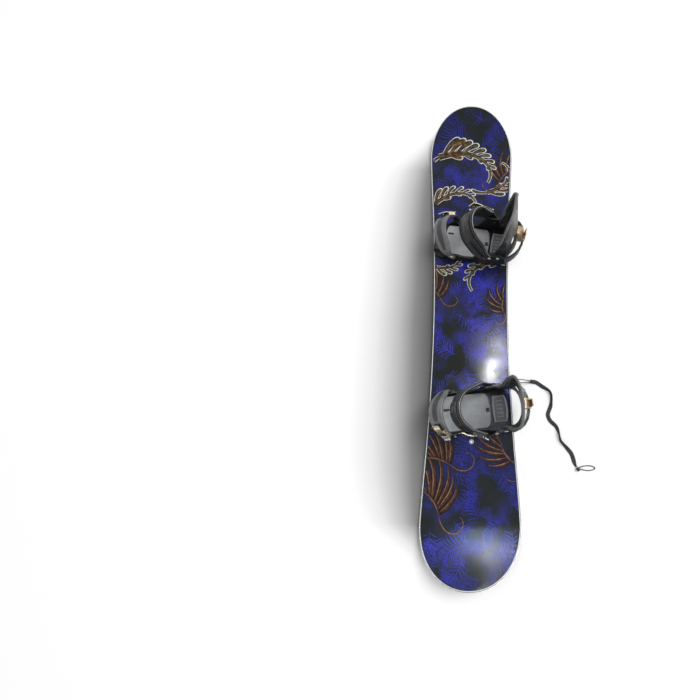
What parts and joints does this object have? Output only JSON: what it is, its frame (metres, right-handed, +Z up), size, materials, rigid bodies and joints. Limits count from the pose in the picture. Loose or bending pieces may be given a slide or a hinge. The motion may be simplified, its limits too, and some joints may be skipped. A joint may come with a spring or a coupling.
{
  "type": "snowboard",
  "caption": "Freestyle snowboard with turned-up tips, sidecut and glossy deck, two strap bindings with highbacks and ratchet buckles, and a leash from the rear heel loop.",
  "frame": {"origin": "middle of the running base between nose and tail, on the base's flat face (the floor)", "axes": "+Z up; +Y towards the nose; +X towards the heel edge and the highbacks"},
  "size_m": [0.5017, 1.4998, 0.2517],
  "materials": {
    "base_plastic": "sintered polyethylene, waxed",
    "edge_steel": "ground",
    "sidewall_plastic": "satin",
    "core_wood": "bare poplar",
    "topsheet_lacquer": "clear gloss over a printed floral pattern",
    "moulded_nylon": "fine moulded grain",
    "disc_nylon": "fine moulded grain",
    "cushion_rubber": "matt",
    "ramp_rubber": "matt",
    "strap_skin": "synthetic leather over foam",
    "ladder_plastic": "satin",
    "buckle_metal": "satin",
    "lever_metal": "champagne anodised",
    "release_metal": "satin",
    "bolt_metal": "champagne plated",
    "pivot_steel": "satin",
    "leash_cord": "braided",
    "leash_webbing_cloth": "woven webbing"
  },
  "bodies": {
    "board": {"base_sheet": "base_plastic", "steel_edge": "edge_steel", "sidewall": "sidewall_plastic", "wood_core": "core_wood", "topsheet": "topsheet_lacquer", "leash_hitch_loop": "leash_cord", "leash_webbing": "leash_webbing_cloth", "leash_knot": "leash_webbing_cloth", "leash_end_loop": "leash_cord", "front_baseplate": "moulded_nylon", "front_disc": "disc_nylon", "front_footbed": "cushion_rubber", "front_heel_pad": "cushion_rubber", "front_toe_ramp": "ramp_rubber", "front_heel_loop": "moulded_nylon", "front_highback_nose_bolt": "pivot_steel", "front_highback_tail_bolt": "pivot_steel", "front_ankle_outer_bolt": "bolt_metal", "front_ankle_inner_bolt": "bolt_metal", "front_toe_outer_bolt": "bolt_metal", "front_toe_inner_bolt": "bolt_metal", "rear_baseplate": "moulded_nylon", "rear_disc": "disc_nylon", "rear_footbed": "cushion_rubber", "rear_heel_pad": "cushion_rubber", "rear_toe_ramp": "ramp_rubber", "rear_heel_loop": "moulded_nylon", "rear_highback_nose_bolt": "pivot_steel", "rear_highback_tail_bolt": "pivot_steel", "rear_ankle_outer_bolt": "bolt_metal", "rear_ankle_inner_bolt": "bolt_metal", "rear_toe_outer_bolt": "bolt_metal", "rear_toe_inner_bolt": "bolt_metal"},
    "front_highback_assembly": {"front_highback": "moulded_nylon", "front_lean_block": "moulded_nylon"},
    "front_lean_lever_body": {"front_lean_lever": "lever_metal"},
    "front_ankle_strap": {"front_ankle_pad": "strap_skin", "front_ankle_ladder": "ladder_plastic", "front_ankle_buckle": "buckle_metal"},
    "front_ankle_lever_body": {"front_ankle_lever": "lever_metal"},
    "front_ankle_release_body": {"front_ankle_release": "release_metal"},
    "front_toe_strap": {"front_toe_pad": "strap_skin", "front_toe_ladder": "ladder_plastic", "front_toe_buckle": "buckle_metal"},
    "front_toe_lever_body": {"front_toe_lever": "lever_metal"},
    "front_toe_release_body": {"front_toe_release": "release_metal"},
    "rear_highback_assembly": {"rear_highback": "moulded_nylon", "rear_lean_block": "moulded_nylon"},
    "rear_lean_lever_body": {"rear_lean_lever": "lever_metal"},
    "rear_ankle_strap": {"rear_ankle_pad": "strap_skin", "rear_ankle_ladder": "ladder_plastic", "rear_ankle_buckle": "buckle_metal"},
    "rear_ankle_lever_body": {"rear_ankle_lever": "lever_metal"},
    "rear_ankle_release_body": {"rear_ankle_release": "release_metal"},
    "rear_toe_strap": {"rear_toe_pad": "strap_skin", "rear_toe_ladder": "ladder_plastic", "rear_toe_buckle": "buckle_metal"},
    "rear_toe_lever_body": {"rear_toe_lever": "lever_metal"},
    "rear_toe_release_body": {"rear_toe_release": "release_metal"}
  },
  "joints": [
    {"name": "front_highback_fold", "type": "hinge", "parent": "board", "child": "front_highback_assembly", "pos_m": [0.09482, 0.24298, 0.0565], "axis": [-0.1564, -0.9877, 0], "range_deg": [0, 25]},
    {"name": "front_lean_lever_turn", "type": "hinge", "parent": "front_highback_assembly", "child": "front_lean_lever_body", "pos_m": [0.16593, 0.23172, 0.0885], "axis": [0.1564, 0.9877, 0], "range_deg": [0, 90]},
    {"name": "front_ankle_strap_swing", "type": "hinge", "parent": "board", "child": "front_ankle_strap", "pos_m": [0.06914, 0.24705, 0.0575], "axis": [0.1564, 0.9877, 0], "range_deg": [-14, 8]},
    {"name": "front_ankle_lever_lift", "type": "hinge", "parent": "front_ankle_strap", "child": "front_ankle_lever_body", "pos_m": [0.03763, 0.32341, 0.09628], "axis": [-0.6609, 0.1047, -0.7431], "range_deg": [0, 60], "stiffness_Nm_per_rad": 0.02, "springref_deg": -17.19},
    {"name": "front_ankle_release_lift", "type": "hinge", "parent": "front_ankle_strap", "child": "front_ankle_release_body", "pos_m": [0.05336, 0.32671, 0.08275], "axis": [0.6609, -0.1047, 0.7431], "range_deg": [0, 20], "stiffness_Nm_per_rad": 0.01, "springref_deg": -17.19},
    {"name": "front_toe_strap_swing", "type": "hinge", "parent": "board", "child": "front_toe_strap", "pos_m": [-0.04938, 0.26582, 0.0315], "axis": [0.1564, 0.9877, 0], "range_deg": [-10, 10]},
    {"name": "front_toe_lever_lift", "type": "hinge", "parent": "front_toe_strap", "child": "front_toe_lever_body", "pos_m": [-0.06995, 0.32324, 0.07838], "axis": [-0.8376, 0.1327, -0.5299], "range_deg": [0, 60], "stiffness_Nm_per_rad": 0.02, "springref_deg": -17.19},
    {"name": "front_toe_release_lift", "type": "hinge", "parent": "front_toe_strap", "child": "front_toe_release_body", "pos_m": [-0.06127, 0.33183, 0.06682], "axis": [0.8376, -0.1327, 0.5299], "range_deg": [0, 20], "stiffness_Nm_per_rad": 0.01, "springref_deg": -17.19},
    {"name": "rear_highback_fold", "type": "hinge", "parent": "board", "child": "rear_highback_assembly", "pos_m": [0.09547, -0.28097, 0.0565], "axis": [0.1045, -0.9945, 0], "range_deg": [0, 25]},
    {"name": "rear_lean_lever_turn", "type": "hinge", "parent": "rear_highback_assembly", "child": "rear_lean_lever_body", "pos_m": [0.16708, -0.27344, 0.0885], "axis": [-0.1045, 0.9945, 0], "range_deg": [0, 90]},
    {"name": "rear_ankle_strap_swing", "type": "hinge", "parent": "board", "child": "rear_ankle_strap", "pos_m": [0.06962, -0.28368, 0.0575], "axis": [-0.1045, 0.9945, 0], "range_deg": [-7, 23]},
    {"name": "rear_ankle_lever_lift", "type": "hinge", "parent": "rear_ankle_strap", "child": "rear_ankle_lever_body", "pos_m": [0.01411, -0.36039, 0.08971], "axis": [0.4515, 0.0475, 0.891], "range_deg": [0, 60], "stiffness_Nm_per_rad": 0.02, "springref_deg": -17.19},
    {"name": "rear_ankle_release_lift", "type": "hinge", "parent": "rear_ankle_strap", "child": "rear_ankle_release_body", "pos_m": [0.03262, -0.36421, 0.08053], "axis": [-0.4515, -0.0475, -0.891], "range_deg": [0, 20], "stiffness_Nm_per_rad": 0.01, "springref_deg": -17.19},
    {"name": "rear_toe_strap_swing", "type": "hinge", "parent": "board", "child": "rear_toe_strap", "pos_m": [-0.04973, -0.29623, 0.0315], "axis": [-0.1045, 0.9945, 0], "range_deg": [-10, 10]},
    {"name": "rear_toe_lever_lift", "type": "hinge", "parent": "rear_toe_strap", "child": "rear_toe_lever_body", "pos_m": [-0.07327, -0.35249, 0.07838], "axis": [0.8434, 0.0887, 0.5299], "range_deg": [0, 60], "stiffness_Nm_per_rad": 0.02, "springref_deg": -17.19},
    {"name": "rear_toe_release_lift", "type": "hinge", "parent": "rear_toe_strap", "child": "rear_toe_release_body", "pos_m": [-0.06506, -0.36152, 0.06682], "axis": [-0.8434, -0.0887, -0.5299], "range_deg": [0, 20], "stiffness_Nm_per_rad": 0.01, "springref_deg": -17.19}
  ]
}
